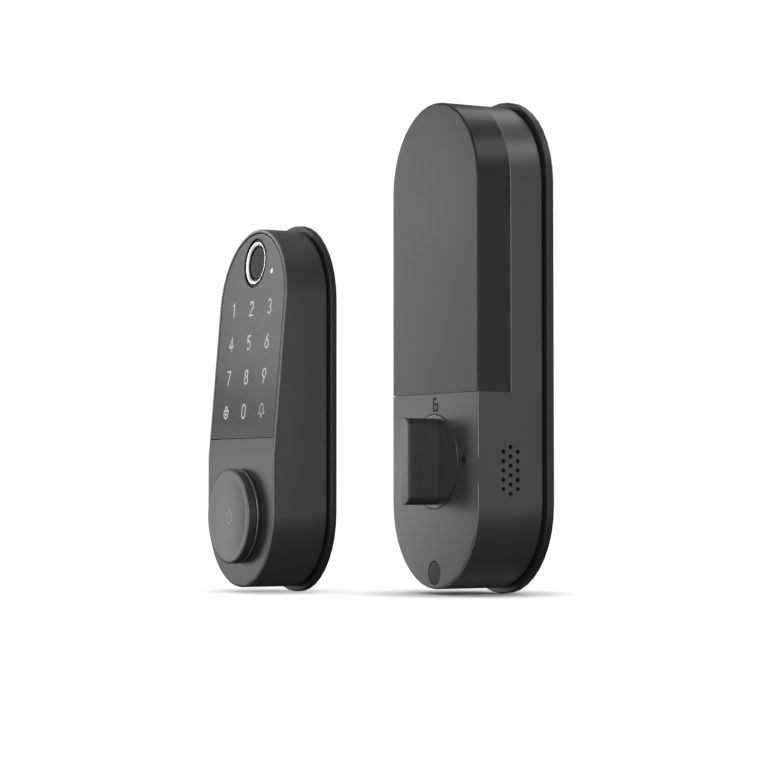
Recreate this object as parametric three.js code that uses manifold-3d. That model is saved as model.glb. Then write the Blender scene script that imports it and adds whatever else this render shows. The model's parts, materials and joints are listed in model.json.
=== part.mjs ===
// Keypad smart lock, outdoor keypad unit and indoor drive unit, off the door.
// Millimetres, +Z up, both fronts face -Y. The origin is the middle of the indoor unit's rear face.
import * as THREE from 'three';
import { mergeVertices } from 'three/addons/utils/BufferGeometryUtils.js';
import ManifoldModule from 'manifold-3d';

const wasm = await ManifoldModule();
wasm.setup();

// ---------------------------------------------------------------- placing
// Each unit is drawn on its own centre line, rear face at y = 0 and lowest point at z = 0.
const OUT_X = -60.2;
const OUT_Y = -66.5;
const ORIGIN_Z = 103.2;

// ---------------------------------------------------------------- shared
const FIT = 0.3;
const ARC = 20;
const ROUND = 36;
const DISC_ROUND = 48;
const MID_ROUND = 24;
const SMALL_ROUND = 16;
const WALL = 2.4;
const SEAL_INSET = 1.0;
const SEAL_WIDTH = 1.2;
const BOLT_SPREAD = 19;

// ---------------------------------------------------------------- outdoor unit
const OUT_W = 63.4;
const OUT_H = 152;
const OUT_D = 28.4;
const OUT_LIP = 2.2;
const OUT_PLATE_T = 2.7;
const OUT_SEAM = 1.1;
const OUT_EDGE = 0.9;
const BEND_Z = 57.4;
const LEAN = THREE.MathUtils.degToRad(4.84);
const OUT_SKIN = 4.2;
const PANEL_RIM = 1.5;
const PANEL_T = 1.75;
const PANEL_SINK = 0.15;
const PANEL_GAP = 0.45;
const PANEL_MOUTH = 0.25;
const PANEL_LOW_Z = 64.8;
const TOUCH_BOARD = { w: 48, low: 68, high: 126, t: 1.2 };
const TOUCH_SOCKET = { w: 12, h: 6, t: 4, z: 74 };
const FINGER_Z = 139.8;
const FINGER_PAD_R = 6.8;
const FINGER_RING_IN = 7.1;
const FINGER_RING_OUT = 8.9;
const FINGER_RING_SINK = 0.3;
const FINGER_RING_DEPTH = 1.4;
const FINGER_CUP_R = 10.3;
const LAMP = { x: 16.5, z: 135.2, r: 1.1 };
const KNOB_Z = 32.25;
const KNOB_R = 20;
const KNOB_RISE = 5.6;
const KNOB_RING_R = 19.8;
const KNOB_RING_T = 0.9;
const KNOB_BOSS_R = 16.8;
const KNOB_BORE_R = 10.3;
const KNOB_SEAT_Y = -26;
const CAP_DISC_T = 3.8;
const CAP_NECK_R = 18.6;
const CAP_SPIGOT_R = 15.1;
const CAP_ROOM_R = 13.2;
const CAP_WEB = 2.1;
const CAP_DISH = 1.0;
const CAP_DISH_R = 17.8;
const BARREL_R = 10;
const BARREL_FLANGE_R = 13.5;
const PLUG_R = 6.3;
const OUT_SCREWS = [[-18.5, 142], [18.5, 142], [-18.5, 15], [18.5, 15]];

// ---------------------------------------------------------------- indoor unit
const IN_W = 70;
const IN_H = 201.8;
const IN_D = 34.8;
const IN_LIP = 2.3;
const IN_PLATE_T = 3.1;
const IN_SEAM = 1.2;
const IN_EDGE = 0.8;
const COVER_Z = 83.2;
const COVER_SPLIT = 19.1;
const COVER_T = 2;
const SEAM_LIP = { inset: 1, t: 1, rise: 0.7 };
const FRAME_INSET = COVER_T + 2 * FIT;
const FRAME_FRONT = IN_D - COVER_T - 1.2;
const FRAME_SKIN = 1.8;
const BACK_ROOM = 13.3;
const CELL_R = 7.1;
const CELL_BODY = 49.2;
const CELL_NUB = 1.3;
const CELL_GAP = 0.8;
const CELL_PITCH = 2 * CELL_R + CELL_GAP;
const CELL_Z = 91.3;
const BAY = { half: 2 * CELL_PITCH + FIT, low: 88.5, high: 144, floor: BACK_ROOM + 1.6 };
const CELL_Y = -(BAY.floor + 0.5 + CELL_R);
const UPPER_BAY_Z = 146;
const RAIL = { y: 21.7, t: 1.4, depth: 1.4, low: 100, high: 150 };
const THUMB_Z = 55;
const THUMB_DISC_R = 19.5;
const THUMB_DISC_T = 1.0;
const THUMB_PROUD = 0.25;
const GRIP = { w: 8, h: 35.7, r: 3.5, rise: 14.3 };
const SHAFT_R = 6;
const MODULE = 0.7;
const DRIVE_TEETH = 48;
const WHEEL_TEETH = 36;
const PINION_TEETH = 12;
const IDLER_X = -13.5;
const MOTOR_DX = 13.1;
const MOTOR_R = 7.5;
const SPEAKER = { r: 10, t: 4.2, y: -19.4, z: 51.2 };
const HOLE_R = 0.95;
const HOLE_ROUND = 10;
const HOLE_PITCH = 3.78;
const HOLE_COLUMN = 3.4;
const LOW_SCREW_Z = 9.1;
const TOP_SCREW_Z = 192;
const STOPPER_R = 4.75;
const MAIN_BOARD = { w: 48, low: 149, high: 184, y: -23.4, t: 1.6 };
const RESET = { x: 18, z: 160, r: 2 };

// ---------------------------------------------------------------- outlines
// Each outline is a function of an inset and gives [x, z] points, turning left seen from the front.
const stadium = (w, low, high, marks = []) => (inset = 0) => {
  const r = w / 2 - inset;
  const top = high - w / 2;
  const bottom = low + w / 2;
  const points = [];
  for (let i = 0; i <= ARC; i++) {
    const a = Math.PI * i / ARC;
    points.push([r * Math.cos(a), top + r * Math.sin(a)]);
  }
  for (const z of [...marks].reverse()) points.push([-r, z]);
  for (let i = 0; i <= ARC; i++) {
    const a = Math.PI * (1 + i / ARC);
    points.push([r * Math.cos(a), bottom + r * Math.sin(a)]);
  }
  for (const z of marks) points.push([r, z]);
  return points;
};

const archOver = (w, low, high) => (inset = 0) => {
  const r = w / 2 - inset;
  const top = high - w / 2;
  const points = [[-r, low], [r, low]];
  for (let i = 0; i <= ARC; i++) {
    const a = Math.PI * i / ARC;
    points.push([r * Math.cos(a), top + r * Math.sin(a)]);
  }
  return points;
};

const archUnder = (w, low, high) => (inset = 0) => {
  const r = w / 2 - inset;
  const bottom = low + w / 2;
  const points = [[r, high], [-r, high]];
  for (let i = 0; i <= ARC; i++) {
    const a = Math.PI * (1 + i / ARC);
    points.push([r * Math.cos(a), bottom + r * Math.sin(a)]);
  }
  return points;
};

const circle = (radius, x = 0, z = 0, count = ROUND) => (inset = 0) => {
  const points = [];
  for (let i = 0; i < count; i++) {
    const a = 2 * Math.PI * i / count;
    points.push([x + (radius - inset) * Math.cos(a), z + (radius - inset) * Math.sin(a)]);
  }
  return points;
};

const roundRect = (w, h, r, x = 0, z = 0, steps = 6) => (inset = 0) => {
  const corner = r - inset;
  const points = [];
  for (const [sx, sz, start] of [[1, 1, 0], [-1, 1, 1], [-1, -1, 2], [1, -1, 3]]) {
    for (let i = 0; i <= steps; i++) {
      const a = Math.PI / 2 * (start + i / steps);
      points.push([
        x + sx * (w / 2 - r) + corner * Math.cos(a),
        z + sz * (h / 2 - r) + corner * Math.sin(a),
      ]);
    }
  }
  return points;
};

const involute = (angle) => Math.tan(angle) - angle;

// Spur gear outline; a tooth is centred on the angle phase.
const gear = (teeth, x, z, phase) => () => {
  const pressure = THREE.MathUtils.degToRad(20);
  const pitchR = MODULE * teeth / 2;
  const baseR = pitchR * Math.cos(pressure);
  const tipR = pitchR + 0.8 * MODULE;
  const rootR = pitchR - 1.3 * MODULE;
  const halfAtPitch = (Math.PI * MODULE / 2 - FIT) / 2 / pitchR;
  const halfAt = (radius) => {
    const r = Math.max(radius, baseR);
    return halfAtPitch + involute(pressure) - involute(Math.acos(baseR / r));
  };
  const radii = [rootR, Math.max(baseR, pitchR - 0.5 * MODULE), tipR];
  const points = [];
  for (let i = 0; i < teeth; i++) {
    const middle = phase + 2 * Math.PI * i / teeth;
    for (const r of radii) {
      const a = middle - halfAt(r);
      points.push([x + r * Math.cos(a), z + r * Math.sin(a)]);
    }
    for (const r of [...radii].reverse()) {
      const a = middle + halfAt(r);
      points.push([x + r * Math.cos(a), z + r * Math.sin(a)]);
    }
  }
  return points;
};

// ---------------------------------------------------------------- solids
const asFunction = (value) => (typeof value === 'function' ? value : () => value);

function signedArea(a, b, c) {
  return (b[0] - a[0]) * (c[1] - a[1]) - (c[0] - a[0]) * (b[1] - a[1]);
}

// Walls between rings of [x, y, z] points, first ring at the back, last ring at the front.
function loft(rings, split = null) {
  const count = rings[0].length;
  const positions = rings.flat(2);
  const index = [];
  for (let k = 0; k + 1 < rings.length; k++) {
    for (let i = 0; i < count; i++) {
      const j = (i + 1) % count;
      const back = k * count;
      const front = back + count;
      index.push(back + i, back + j, front + i);
      index.push(back + j, front + j, front + i);
    }
  }
  const whole = rings[0].map((_, i) => i);
  const parts = split ? [whole.slice(split[0], split[1] + 1),
    [...whole.slice(split[1]), ...whole.slice(0, split[0] + 1)]] : [whole];
  const cap = (ring, offset, facing) => {
    for (const part of parts) {
      const flat = part.map((i) => new THREE.Vector2(ring[i][0], ring[i][2]));
      for (const [a, b, c] of THREE.ShapeUtils.triangulateShape(flat, [])) {
        const turn = signedArea(flat[a].toArray(), flat[b].toArray(), flat[c].toArray());
        const order = turn * facing > 0 ? [a, b, c] : [a, c, b];
        index.push(...order.map((n) => offset + part[n]));
      }
    }
  };
  cap(rings[0], 0, -1);
  cap(rings[rings.length - 1], (rings.length - 1) * count, 1);
  const geometry = new THREE.BufferGeometry();
  geometry.setAttribute('position', new THREE.Float32BufferAttribute(positions, 3));
  geometry.setIndex(index);
  return solid(geometry);
}

function solid(geometry) {
  const plain = geometry.clone();
  plain.deleteAttribute('normal');
  plain.deleteAttribute('uv');
  const welded = mergeVertices(plain, 1e-4);
  return new wasm.Manifold(new wasm.Mesh({
    numProp: 3,
    vertProperties: new Float32Array(welded.attributes.position.array),
    triVerts: new Uint32Array(welded.index.array),
  }));
}

// Straight piece along Y: outline at the back plane, rounded front edge of the given size.
function prism(outline, back, front, { edge = 0, steps = 3, split = null } = {}) {
  const backAt = asFunction(back);
  const frontAt = asFunction(front);
  const rings = [outline(0).map(([x, z]) => [x, backAt(z), z])];
  if (edge === 0) {
    rings.push(outline(0).map(([x, z]) => [x, frontAt(z), z]));
    return loft(rings, split);
  }
  for (let k = 0; k <= steps; k++) {
    const a = Math.PI / 2 * k / steps;
    const inset = edge * (1 - Math.cos(a));
    const lift = edge * (1 - Math.sin(a));
    rings.push(outline(inset).map(([x, z]) => [x, frontAt(z) + lift, z]));
  }
  return loft(rings, split);
}

// Piece whose outline changes from back to front; each stage is [outline, y].
function tapered(stages) {
  return loft(stages.map(([outline, y]) => outline(0).map(([x, z]) => [x, y(z), z])));
}

// Turned piece about a line along Y through (x, z); profile is [radius, y] from back to front.
function turned(profile, x, z, count = ROUND) {
  return loft(profile.map(([r, y]) => circle(r, x, z, count)(0).map(([px, pz]) => [px, y, pz])));
}

function block(w, d, h, x, y, z) {
  return solid(new THREE.BoxGeometry(w, d, h).translate(x, y, z));
}

function pinAlongX(radius, length, x, y, z, count = ROUND) {
  const geometry = new THREE.CylinderGeometry(radius, radius, length, count);
  return solid(geometry.rotateZ(-Math.PI / 2).translate(x, y, z));
}

const join = (first, ...rest) => rest.reduce((body, tool) => body.add(tool), first);
const cut = (body, ...tools) => tools.reduce((left, tool) => left.subtract(tool), body);

// ---------------------------------------------------------------- materials
const material = (color, roughness, metalness = 0) => (
  new THREE.MeshStandardMaterial({ color, roughness, metalness })
);
const COAT = material(0x3a3b3d, 0.5, 0.25);
const DARK_COAT = material(0x29292b, 0.55, 0.2);
const KNOB_COAT = material(0x38393b, 0.4, 0.35);
const COVER = material(0x343537, 0.5);
const GLASS = material(0x1d1e20, 0.18);
const RUBBER = material(0x161617, 0.85);
const BLACK = material(0x18181a, 0.6);
const CHROME = material(0xd8dadc, 0.12, 1);
const LENS = material(0xf1f4f5, 0.3);
const BOARD = material(0x14502f, 0.5);
const CAN = material(0xa9acb0, 0.35, 0.9);
const STEEL = material(0x9a9da1, 0.35, 0.9);
const BRASS = material(0xb5924c, 0.35, 0.9);
const NYLON = material(0xd9d6cc, 0.5);
const CELL_WRAP = material(0x37474f, 0.35, 0.3);

function piece(parent, name, body, finish) {
  const mesh = body.getMesh();
  const geometry = new THREE.BufferGeometry();
  geometry.setAttribute('position', new THREE.BufferAttribute(new Float32Array(mesh.vertProperties), 3));
  geometry.setIndex(new THREE.BufferAttribute(new Uint32Array(mesh.triVerts), 1));
  geometry.computeVertexNormals();
  const node = new THREE.Mesh(geometry, finish);
  node.name = name;
  parent.add(node);
  return node;
}

// ---------------------------------------------------------------- outdoor unit
const outdoor = new THREE.Group();
outdoor.name = 'outdoor_unit';
outdoor.position.set(OUT_X, OUT_Y, -ORIGIN_Z);

const outLow = OUT_LIP;
const outHigh = OUT_LIP + OUT_H;
const outRear = -(OUT_PLATE_T + OUT_SEAM);
const slope = Math.tan(LEAN);
const outFace = (z) => -OUT_D + Math.max(0, z - BEND_Z) * slope;
const below = (depth) => (z) => outFace(z) + depth;
const bendSplit = [2 * ARC + 3, ARC + 1];
const bendCap = [bendSplit[1], bendSplit[0]];

{
  const lipW = OUT_W + 2 * OUT_LIP;
  const body = prism(stadium(lipW, 0, outHigh + OUT_LIP), 0, -OUT_PLATE_T, { edge: 0.6 });
  const posts = [-1, 1].map((side) => (
    turned([[4, -1], [4, -14], [3.6, -14.4]], side * BOLT_SPREAD, KNOB_Z, SMALL_ROUND)));
  const threads = [-1, 1].map((side) => (
    turned([[2.1, 1], [2.1, -16]], side * BOLT_SPREAD, KNOB_Z, SMALL_ROUND)));
  const screwHoles = OUT_SCREWS.flatMap(([x, z]) => [
    turned([[1.8, 1], [1.8, -4]], x, z, SMALL_ROUND),
    turned([[3.2, 1], [3.2, -1.9]], x, z, SMALL_ROUND),
  ]);
  const driverHole = turned([[8.5, 1], [8.5, -4]], 0, KNOB_Z, MID_ROUND);
  const cableHole = prism(roundRect(14, 8, 3, 0, KNOB_Z + 20), 1, -4);
  piece(outdoor, 'out_back_plate',
    cut(join(body, ...posts), ...threads, ...screwHoles, driverHole, cableHole), DARK_COAT);
}

{
  const inset = SEAL_INSET;
  const outer = stadium(OUT_W - 2 * inset, outLow + inset, outHigh - inset);
  const inner = inset + SEAL_WIDTH;
  const hollow = stadium(OUT_W - 2 * inner, outLow + inner, outHigh - inner);
  const front = outRear + FIT;
  piece(outdoor, 'out_gasket',
    cut(prism(outer, -OUT_PLATE_T - FIT, front), prism(hollow, 0, -10)), RUBBER);
}

const padOutline = (grow) => archOver(
  OUT_W - 2 * (PANEL_RIM - grow), PANEL_LOW_Z - grow, outHigh - PANEL_RIM + grow);

{
  const shell = prism(stadium(OUT_W, outLow, outHigh, [BEND_Z]), outRear, outFace,
    { edge: OUT_EDGE, split: bendCap });
  const room = prism(stadium(OUT_W - 2 * WALL, outLow + WALL, outHigh - WALL, [BEND_Z]),
    1, below(OUT_SKIN), { split: bendCap });
  const pocket = prism(padOutline(0), below(PANEL_T + PANEL_SINK + FIT), below(-2));
  const mouth = tapered([[0, PANEL_MOUTH], [PANEL_MOUTH, 0], [PANEL_MOUTH, -2]].map(([grow, depth]) => (
    [padOutline(grow), below(depth)])));
  const bosses = OUT_SCREWS.map(([x, z]) => (
    turned([[3.6, outRear - FIT], [3.6, outFace(z) + 2.8]], x, z, SMALL_ROUND)));
  const pilots = OUT_SCREWS.map(([x, z]) => turned([[1.8, 0], [1.8, -13]], x, z, SMALL_ROUND));
  const sensorHole = turned([[FINGER_RING_OUT + FIT, 0], [FINGER_RING_OUT + FIT, -40]], 0, FINGER_Z);
  const lampHole = turned([[LAMP.r + FIT, 0], [LAMP.r + FIT, -40]], LAMP.x, LAMP.z, SMALL_ROUND);
  const knobHole = turned([[KNOB_BOSS_R + FIT, 0], [KNOB_BOSS_R + FIT, -40]], 0, KNOB_Z);
  const tailSlot = prism(roundRect(16, 5, 2, 0, PANEL_LOW_Z + 9), 0, -40);
  piece(outdoor, 'out_housing',
    cut(join(cut(shell, room), ...bosses), pocket, mouth, ...pilots, sensorHole, lampHole, knobHole,
      tailSlot), COAT);
}

{
  const body = prism(padOutline(-PANEL_GAP), below(PANEL_T + PANEL_SINK), below(PANEL_SINK),
    { edge: 0.2, steps: 2 });
  const sensorHole = turned([[FINGER_CUP_R + FIT, 0], [FINGER_CUP_R + FIT, -40]], 0, FINGER_Z);
  const lampHole = turned([[LAMP.r + FIT, 0], [LAMP.r + FIT, -40]], LAMP.x, LAMP.z, SMALL_ROUND);
  piece(outdoor, 'keypad_panel', cut(body, sensorHole, lampHole), GLASS);
}

{
  const cup = prism(circle(FINGER_CUP_R, 0, FINGER_Z), below(PANEL_T + PANEL_SINK), below(0.75));
  const cupBore = turned([[FINGER_RING_OUT + FIT, 0], [FINGER_RING_OUT + FIT, -40]], 0, FINGER_Z);
  piece(outdoor, 'fingerprint_bezel', cut(cup, cupBore), BLACK);

  const ring = prism(circle(FINGER_RING_OUT, 0, FINGER_Z), below(5.2), below(FINGER_RING_SINK));
  const ringBore = turned([[FINGER_RING_IN, 0], [FINGER_RING_IN, -40]], 0, FINGER_Z);
  const ringLip = FINGER_RING_OUT - 0.2;
  const funnel = tapered([[FINGER_RING_IN, FINGER_RING_DEPTH], [ringLip, FINGER_RING_SINK], [ringLip, -2]]
    .map(([r, depth]) => [circle(r, 0, FINGER_Z), below(depth)]));
  piece(outdoor, 'fingerprint_ring', cut(ring, ringBore, funnel), CHROME);

  const pad = prism(circle(FINGER_PAD_R, 0, FINGER_Z), below(6), below(FINGER_RING_DEPTH),
    { edge: 0.2, steps: 1 });
  piece(outdoor, 'fingerprint_sensor', pad, BLACK);

  const lamp = prism(circle(LAMP.r, LAMP.x, LAMP.z, SMALL_ROUND), below(4), below(0.1));
  piece(outdoor, 'status_lens', lamp, LENS);
}

{
  const { w, low, high, t } = TOUCH_BOARD;
  const front = below(OUT_SKIN + 2 * FIT);
  const rear = below(OUT_SKIN + 2 * FIT + t);
  piece(outdoor, 'touch_board', prism(roundRect(w, high - low, 3, 0, (low + high) / 2), rear, front), BOARD);
  const socket = TOUCH_SOCKET;
  const socketFront = below(OUT_SKIN + 3 * FIT + t);
  const socketRear = below(OUT_SKIN + 3 * FIT + t + socket.t);
  piece(outdoor, 'touch_board_socket',
    prism(roundRect(socket.w, socket.h, 0.6, 0, socket.z, 2), socketRear, socketFront), NYLON);
}

const knobFront = -(OUT_D + KNOB_RISE);
const ringBack = -OUT_D - FIT;
const ringFront = ringBack - KNOB_RING_T;
const capBack = knobFront + CAP_DISC_T;
{
  const body = turned([
    [KNOB_BOSS_R, -21.2], [KNOB_BOSS_R, -22.1], [KNOB_BOSS_R - 0.8, -22.1], [KNOB_BOSS_R - 0.8, -23.9],
    [KNOB_BOSS_R, -23.9], [KNOB_BOSS_R, ringBack], [KNOB_RING_R, ringBack],
    [KNOB_RING_R, ringFront + 0.3], [KNOB_RING_R - 0.3, ringFront],
  ], 0, KNOB_Z, DISC_ROUND);
  const bore = turned([[KNOB_BORE_R, 0], [KNOB_BORE_R, -50]], 0, KNOB_Z);
  const seat = turned([[CAP_SPIGOT_R + FIT, KNOB_SEAT_Y], [CAP_SPIGOT_R + FIT, -50]], 0, KNOB_Z, DISC_ROUND);
  piece(outdoor, 'knob', cut(body, bore, seat), KNOB_COAT);

  const clip = cut(turned([[KNOB_BOSS_R + 2.5, -22.4], [KNOB_BOSS_R + 2.5, -23.6]], 0, KNOB_Z),
    turned([[KNOB_BOSS_R - 0.5, 0], [KNOB_BOSS_R - 0.5, -50]], 0, KNOB_Z),
    block(5, 10, 5, 0, -23, KNOB_Z - KNOB_BOSS_R - 1));
  piece(outdoor, 'knob_clip', clip, STEEL);

  const dish = [1, 0.9, 0.8, 0.68, 0.54, 0.38, 0.18].map((s) => (
    [CAP_DISH_R * s, knobFront + CAP_DISH * (1 - s * s)]));
  const cap = turned([
    [CAP_SPIGOT_R, KNOB_SEAT_Y - FIT], [CAP_SPIGOT_R, ringFront - FIT], [CAP_NECK_R, ringFront - FIT],
    [CAP_NECK_R, capBack], [KNOB_R - 0.3, capBack], [KNOB_R, capBack - 0.3], [KNOB_R, knobFront + 0.7],
    [KNOB_R - 0.2, knobFront + 0.2], [KNOB_R - 0.7, knobFront], ...dish,
  ], 0, KNOB_Z, DISC_ROUND);
  const capRoom = turned([[CAP_ROOM_R, 0], [CAP_ROOM_R, knobFront + CAP_WEB]], 0, KNOB_Z);
  piece(outdoor, 'key_cap', cut(cap, capRoom), KNOB_COAT);
}

{
  const front = knobFront + CAP_WEB + 2 * FIT;
  const flangeBack = -(OUT_PLATE_T + FIT);
  const barrel = turned([[BARREL_FLANGE_R, flangeBack], [BARREL_FLANGE_R, flangeBack - 2.5],
    [BARREL_R, flangeBack - 2.5], [BARREL_R, front + 0.3], [BARREL_R - 0.3, front]], 0, KNOB_Z);
  const bore = turned([[PLUG_R + FIT, 0], [PLUG_R + FIT, -50]], 0, KNOB_Z, MID_ROUND);
  piece(outdoor, 'key_cylinder', cut(barrel, bore), BRASS);

  const plugBack = -6;
  const plug = turned([[PLUG_R, plugBack], [PLUG_R, front]], 0, KNOB_Z, MID_ROUND);
  const keyway = block(1.3, 24, 8.6, 0, front + 11, KNOB_Z);
  piece(outdoor, 'key_plug', cut(plug, keyway), BRASS);

  const driver = turned([[PLUG_R, -0.5], [PLUG_R, plugBack + FIT]], 0, KNOB_Z, MID_ROUND);
  const slot = block(2.6, 4, 9, 0, 0, KNOB_Z);
  piece(outdoor, 'spindle_driver', cut(driver, slot), STEEL);
}

OUT_SCREWS.forEach(([x, z], i) => {
  const screw = turned([[2.8, -0.1], [2.8, -1.6], [1.5, -1.6], [1.5, -12]], x, z, SMALL_ROUND);
  const cross = [block(3.2, 1.8, 0.6, x, -0.1, z), block(0.6, 1.8, 3.2, x, -0.1, z)];
  piece(outdoor, `out_screw_${i + 1}`, cut(screw, ...cross), STEEL);
});

// ---------------------------------------------------------------- indoor unit
const indoor = new THREE.Group();
indoor.name = 'indoor_unit';
indoor.position.set(0, 0, -ORIGIN_Z);

const inLow = IN_LIP;
const inHigh = IN_LIP + IN_H;
const inRear = -(IN_PLATE_T + IN_SEAM);
const inFront = -IN_D;
const skin = inFront + WALL;

{
  const body = prism(stadium(IN_W + 2 * IN_LIP, 0, inHigh + IN_LIP), 0, -IN_PLATE_T, { edge: 0.6 });
  const shaftHole = turned([[9, 1], [9, -5]], 0, THUMB_Z, MID_ROUND);
  const slots = [-1, 1].map((side) => (
    prism(roundRect(10, 6, 2.9, side * BOLT_SPREAD, THUMB_Z), 1, -5)));
  const cableHole = prism(roundRect(14, 8, 3, 0, THUMB_Z + 22), 1, -5);
  const screwHoles = [LOW_SCREW_Z, TOP_SCREW_Z].map((z) => turned([[2.3, 1], [2.3, -5]], 0, z, SMALL_ROUND));
  const doorHole = turned([[2.4, 1], [2.4, -5]], 0, 120, 20);
  piece(indoor, 'in_back_plate',
    cut(body, shaftHole, ...slots, cableHole, ...screwHoles, doorHole), DARK_COAT);
}

{
  const inset = SEAL_INSET;
  const outer = stadium(IN_W - 2 * inset, inLow + inset, inHigh - inset);
  const inner = inset + SEAL_WIDTH;
  const hollow = stadium(IN_W - 2 * inner, inLow + inner, inHigh - inner);
  piece(indoor, 'in_gasket',
    cut(prism(outer, -IN_PLATE_T - FIT, inRear + FIT), prism(hollow, 0, -10)), RUBBER);
}

// Band behind the front and side faces, between two insets; it keeps the cover's lower seam closed.
function seamBand(outer, inner, low, high) {
  const slab = (inset, from, to) => block(IN_W - 2 * inset, IN_D - inset - COVER_SPLIT, to - from,
    0, -(IN_D - inset + COVER_SPLIT) / 2, (from + to) / 2);
  return cut(slab(outer, low, high), slab(inner, low - 1, high + 1));
}

const discFront = inFront - THUMB_PROUD;
const discRear = discFront + THUMB_DISC_T;
const frameW = IN_W - 2 * FRAME_INSET;
const frameTop = inHigh - FRAME_INSET;
const screwFloor = -12;
const idlerZ = THUMB_Z - Math.sqrt((MODULE * (DRIVE_TEETH + PINION_TEETH) / 2) ** 2 - IDLER_X ** 2);
const motorX = IDLER_X + MOTOR_DX;
const motorZ = idlerZ - Math.sqrt((MODULE * (WHEEL_TEETH + PINION_TEETH) / 2) ** 2 - MOTOR_DX ** 2);

{
  const rearHalf = prism(stadium(IN_W, inLow, inHigh), inRear, -COVER_SPLIT, { edge: 0.2, steps: 1 });
  const lowerHalf = prism(archUnder(IN_W, inLow, COVER_Z - FIT), inRear, inFront, { edge: IN_EDGE });
  const frame = prism(archOver(frameW, COVER_Z - 2, frameTop), -COVER_SPLIT + 1, -FRAME_FRONT);
  const backRoom = prism(stadium(IN_W - 2 * WALL, inLow + WALL, inHigh - WALL), 0, -BACK_ROOM);
  const driveRoom = prism(archUnder(IN_W - 2 * WALL, inLow + WALL, COVER_Z - FIT - WALL),
    -BACK_ROOM + 1, skin);
  const cellBay = block(2 * BAY.half, 40, BAY.high - BAY.low, 0, -BAY.floor - 20, (BAY.low + BAY.high) / 2);
  const boardBay = prism(archOver(frameW - 2 * FRAME_SKIN, UPPER_BAY_Z, frameTop - FRAME_SKIN),
    -BACK_ROOM + 1, -FRAME_FRONT + FRAME_SKIN);
  const lip = seamBand(SEAM_LIP.inset, SEAM_LIP.inset + SEAM_LIP.t, COVER_Z - FIT - 0.5,
    COVER_Z + SEAM_LIP.rise);
  const thumbSeat = turned([[THUMB_DISC_R + FIT, discRear + FIT], [THUMB_DISC_R + FIT, -50]], 0, THUMB_Z,
    DISC_ROUND);
  const groove = [-1, 1].map((side) => block(2.4, RAIL.t + 2 * FIT, 90, side * frameW / 2, -RAIL.y, 138));
  const ribs = [-1, 0, 1].map((n) => (
    block(1, 2.4, BAY.high - BAY.low, n * CELL_PITCH, -BAY.floor - 0.9, (BAY.low + BAY.high) / 2)));
  const lowBoss = turned([[6.75, -9.6], [6.75, skin - 0.5]], 0, LOW_SCREW_Z, MID_ROUND);
  const topBoss = turned([[6, -9.6], [6, -FRAME_FRONT + 0.5]], 0, TOP_SCREW_Z, MID_ROUND);
  const pinBoss = turned([[3.2, skin + 2.2], [3.2, skin - 0.5]], IDLER_X, idlerZ, SMALL_ROUND);
  const hollowed = cut(join(rearHalf, lowerHalf, frame, lip),
    backRoom, driveRoom, thumbSeat, cellBay, boardBay, ...groove);
  const lowBore = turned([[STOPPER_R + FIT, screwFloor], [STOPPER_R + FIT, -50]], 0, LOW_SCREW_Z, MID_ROUND);
  const topBore = turned([[4.3, screwFloor], [4.3, -50]], 0, TOP_SCREW_Z, MID_ROUND);
  const screwHoles = [LOW_SCREW_Z, TOP_SCREW_Z].map((z) => turned([[2.3, 0], [2.3, -20]], 0, z, SMALL_ROUND));
  const shaftBore = turned([[SHAFT_R + FIT, -20], [SHAFT_R + FIT, -50]], 0, THUMB_Z, MID_ROUND);
  const pinBore = turned([[1.8, 0], [1.8, skin + 0.4]], IDLER_X, idlerZ, SMALL_ROUND);
  const resetHole = turned([[RESET.r + FIT, -20], [RESET.r + FIT, -50]], RESET.x, RESET.z, SMALL_ROUND);
  const grille = [];
  for (let i = 0; i < 6; i++) {
    const z = SPEAKER.z + (i - 2.5) * HOLE_PITCH;
    grille.push(pinAlongX(HOLE_R, 8, IN_W / 2, SPEAKER.y, z, HOLE_ROUND));
  }
  for (let i = 0; i < 5; i++) {
    const z = SPEAKER.z + (i - 2) * HOLE_PITCH;
    grille.push(pinAlongX(HOLE_R, 8, IN_W / 2, SPEAKER.y - HOLE_COLUMN, z, HOLE_ROUND));
    grille.push(pinAlongX(HOLE_R, 8, IN_W / 2, SPEAKER.y + HOLE_COLUMN, z, HOLE_ROUND));
  }
  const speakerRing = cut(pinAlongX(SPEAKER.r + 1.6, 2, IN_W / 2 - WALL - 0.9, SPEAKER.y, SPEAKER.z),
    pinAlongX(SPEAKER.r + FIT, 4, IN_W / 2 - WALL - 0.9, SPEAKER.y, SPEAKER.z));
  piece(indoor, 'in_housing',
    cut(join(hollowed, ...ribs, lowBoss, topBoss, pinBoss, speakerRing),
      lowBore, topBore, ...screwHoles, shaftBore, pinBore, resetHole, ...grille), COAT);
}

{
  const shell = prism(archOver(IN_W, COVER_Z, inHigh), -COVER_SPLIT - FIT, inFront, { edge: IN_EDGE });
  const room = prism(archOver(IN_W - 2 * COVER_T, COVER_Z - 10, inHigh - COVER_T), 0, inFront + COVER_T);
  const rails = [-1, 1].map((side) => block(RAIL.depth + 1, RAIL.t, RAIL.high - RAIL.low,
    side * (IN_W / 2 - COVER_T + 1 - (RAIL.depth + 1) / 2), -RAIL.y, (RAIL.low + RAIL.high) / 2));
  const rebate = seamBand(SEAM_LIP.inset - FIT, IN_W / 2 - 1, COVER_Z - 1, COVER_Z + SEAM_LIP.rise + FIT);
  piece(indoor, 'battery_cover', join(cut(shell, room, rebate), ...rails), COVER);
}

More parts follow.
